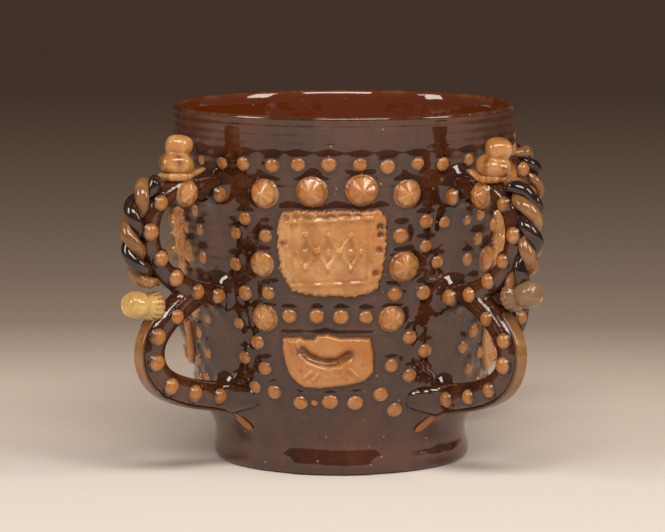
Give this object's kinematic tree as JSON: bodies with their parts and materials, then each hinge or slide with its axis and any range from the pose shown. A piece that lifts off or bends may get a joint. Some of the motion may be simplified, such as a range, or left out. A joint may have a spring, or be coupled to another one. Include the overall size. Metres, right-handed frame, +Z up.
{
  "type": "tyg",
  "caption": "Slipware tyg: a wide earthenware cup for sharing, with double loop handles, twisted ropes, bobbin finials and stamped pads of pale clay.",
  "frame": {"origin": "centre of the underside of the foot, on the cup's axis", "axes": "+Z up along the cup's axis; -Y is the front panel and the handles lie halfway between X and Y, at 45 degrees"},
  "size_m": [0.1612, 0.1612, 0.1413],
  "materials": {
    "red_glaze": "red earthenware under a glossy brown lead glaze",
    "dark_strand": "red clay strand under a glossy, nearly black brown glaze",
    "pale_clay": "buff clay under a glossy amber glaze",
    "butter_clay": "paler buff clay under a thin glossy glaze"
  },
  "bodies": {
    "root": {"cup": "red_glaze", "front_left_upper_loop": "red_glaze", "front_left_lower_loop": "red_glaze", "front_left_dark_strand": "dark_strand", "front_left_light_strand": "pale_clay", "front_left_strip": "pale_clay", "front_left_crimped_disc": "pale_clay", "front_left_top_finial": "pale_clay", "front_left_side_finial": "butter_clay", "front_right_upper_loop": "red_glaze", "front_right_lower_loop": "red_glaze", "front_right_dark_strand": "dark_strand", "front_right_light_strand": "pale_clay", "front_right_strip": "pale_clay", "front_right_crimped_disc": "pale_clay", "front_right_top_finial": "pale_clay", "front_right_side_finial": "butter_clay", "back_right_upper_loop": "red_glaze", "back_right_lower_loop": "red_glaze", "back_right_dark_strand": "dark_strand", "back_right_light_strand": "pale_clay", "back_right_strip": "pale_clay", "back_right_crimped_disc": "pale_clay", "back_right_top_finial": "pale_clay", "back_right_side_finial": "butter_clay", "back_left_upper_loop": "red_glaze", "back_left_lower_loop": "red_glaze", "back_left_dark_strand": "dark_strand", "back_left_light_strand": "pale_clay", "back_left_strip": "pale_clay", "back_left_crimped_disc": "pale_clay", "back_left_top_finial": "pale_clay", "back_left_side_finial": "butter_clay", "front_upper_pad": "pale_clay", "front_lower_pad": "pale_clay", "front_prunt_1": "pale_clay", "front_prunt_2": "pale_clay", "front_prunt_3": "pale_clay", "front_prunt_4": "pale_clay", "right_upper_pad": "pale_clay", "right_lower_pad": "pale_clay", "right_prunt_1": "pale_clay", "right_prunt_2": "pale_clay", "right_prunt_3": "pale_clay", "right_prunt_4": "pale_clay", "back_upper_pad": "pale_clay", "back_lower_pad": "pale_clay", "back_prunt_1": "pale_clay", "back_prunt_2": "pale_clay", "back_prunt_3": "pale_clay", "back_prunt_4": "pale_clay", "left_upper_pad": "pale_clay", "left_lower_pad": "pale_clay", "left_prunt_1": "pale_clay", "left_prunt_2": "pale_clay", "left_prunt_3": "pale_clay", "left_prunt_4": "pale_clay"}
  },
  "joints": []
}
